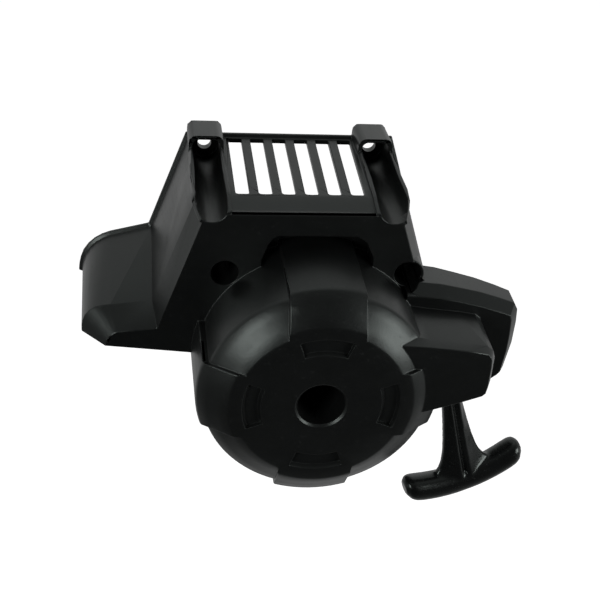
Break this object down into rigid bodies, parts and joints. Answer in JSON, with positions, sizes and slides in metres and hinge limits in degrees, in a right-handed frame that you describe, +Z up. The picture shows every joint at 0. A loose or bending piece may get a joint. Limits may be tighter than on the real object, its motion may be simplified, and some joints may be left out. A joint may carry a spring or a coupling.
{
  "type": "recoil starter assembly",
  "caption": "Pull-rope recoil starter with slotted fan cover, drum housing, screw wells, rope outlet and T-grip for a small engine.",
  "frame": {"origin": "midway between the two lower mounting screw holes, in the plane of the mounting rim", "axes": "-Y out of the drum face, +Y toward the engine, +X to the rope outlet side, +Z up to the slotted wall"},
  "size_m": [0.233, 0.1185, 0.1716],
  "materials": {
    "housing_plastic": "fine moulded texture, near black",
    "bush_brass": "turned",
    "reel_plastic": "moulded, dark grey",
    "spring_steel": "blued spring strip",
    "cassette_plastic": "moulded, black",
    "zinc_steel": "zinc plated",
    "pawl_steel": "stamped and hardened",
    "eyelet_steel": "pressed",
    "rope": "braided nylon cord",
    "grip_plastic": "semi-gloss moulded, black"
  },
  "bodies": {
    "housing": {"starter_housing": "housing_plastic", "axle_bush": "bush_brass", "recoil_spring": "spring_steel", "spring_cassette": "cassette_plastic", "cassette_cover": "zinc_steel", "cassette_screws": "zinc_steel", "thrust_washer": "zinc_steel", "rope_run": "rope", "rope_eyelet": "eyelet_steel", "retaining_washer": "zinc_steel", "spring_washer": "zinc_steel", "retaining_screw": "zinc_steel"},
    "reel": {"rope_reel": "reel_plastic", "rope_winding": "rope", "reel_knot": "rope", "pawl_pins": "zinc_steel"},
    "grip": {"grip_handle": "grip_plastic", "grip_knot": "rope", "knot_washer": "zinc_steel", "rope_tail": "rope"},
    "clip": {"friction_clip": "spring_steel"},
    "pawl_a": {"pawl_a": "pawl_steel"},
    "pawl_b": {"pawl_b": "pawl_steel"}
  },
  "joints": [
    {"name": "reel_spin", "type": "hinge", "parent": "housing", "child": "reel", "pos_m": [0, -0.0875, -0.0455], "axis": [0, 1, 0], "range_deg": [0, 1080], "stiffness_Nm_per_rad": 0.03, "springref_deg": -343.77, "deforming": ["recoil_spring", "rope_winding"]},
    {"name": "grip_pull", "type": "slide", "parent": "housing", "child": "grip", "axis": [0.2588, 0, -0.9659], "range_m": [0, 0.722], "deforming": ["rope_tail"]},
    {"name": "clip_drag", "type": "hinge", "parent": "reel", "child": "clip", "pos_m": [0, -0.0707, -0.0455], "axis": [0, -1, 0], "range_deg": [0, 18]},
    {"name": "pawl_a_swing", "type": "hinge", "parent": "reel", "child": "pawl_a", "pos_m": [0.027, -0.0755, -0.0455], "axis": [0, -1, 0], "range_deg": [0, 22]},
    {"name": "pawl_b_swing", "type": "hinge", "parent": "reel", "child": "pawl_b", "pos_m": [-0.027, -0.0755, -0.0455], "axis": [0, -1, 0], "range_deg": [0, 22]}
  ],
  "couplings": [
    {"joint": "grip_pull", "follows": "reel_spin", "m_per_rad": 0.0383},
    {"joint": "pawl_a_swing", "follows": "clip_drag", "ratio": 1.2222},
    {"joint": "pawl_b_swing", "follows": "clip_drag", "ratio": 1.2222}
  ]
}
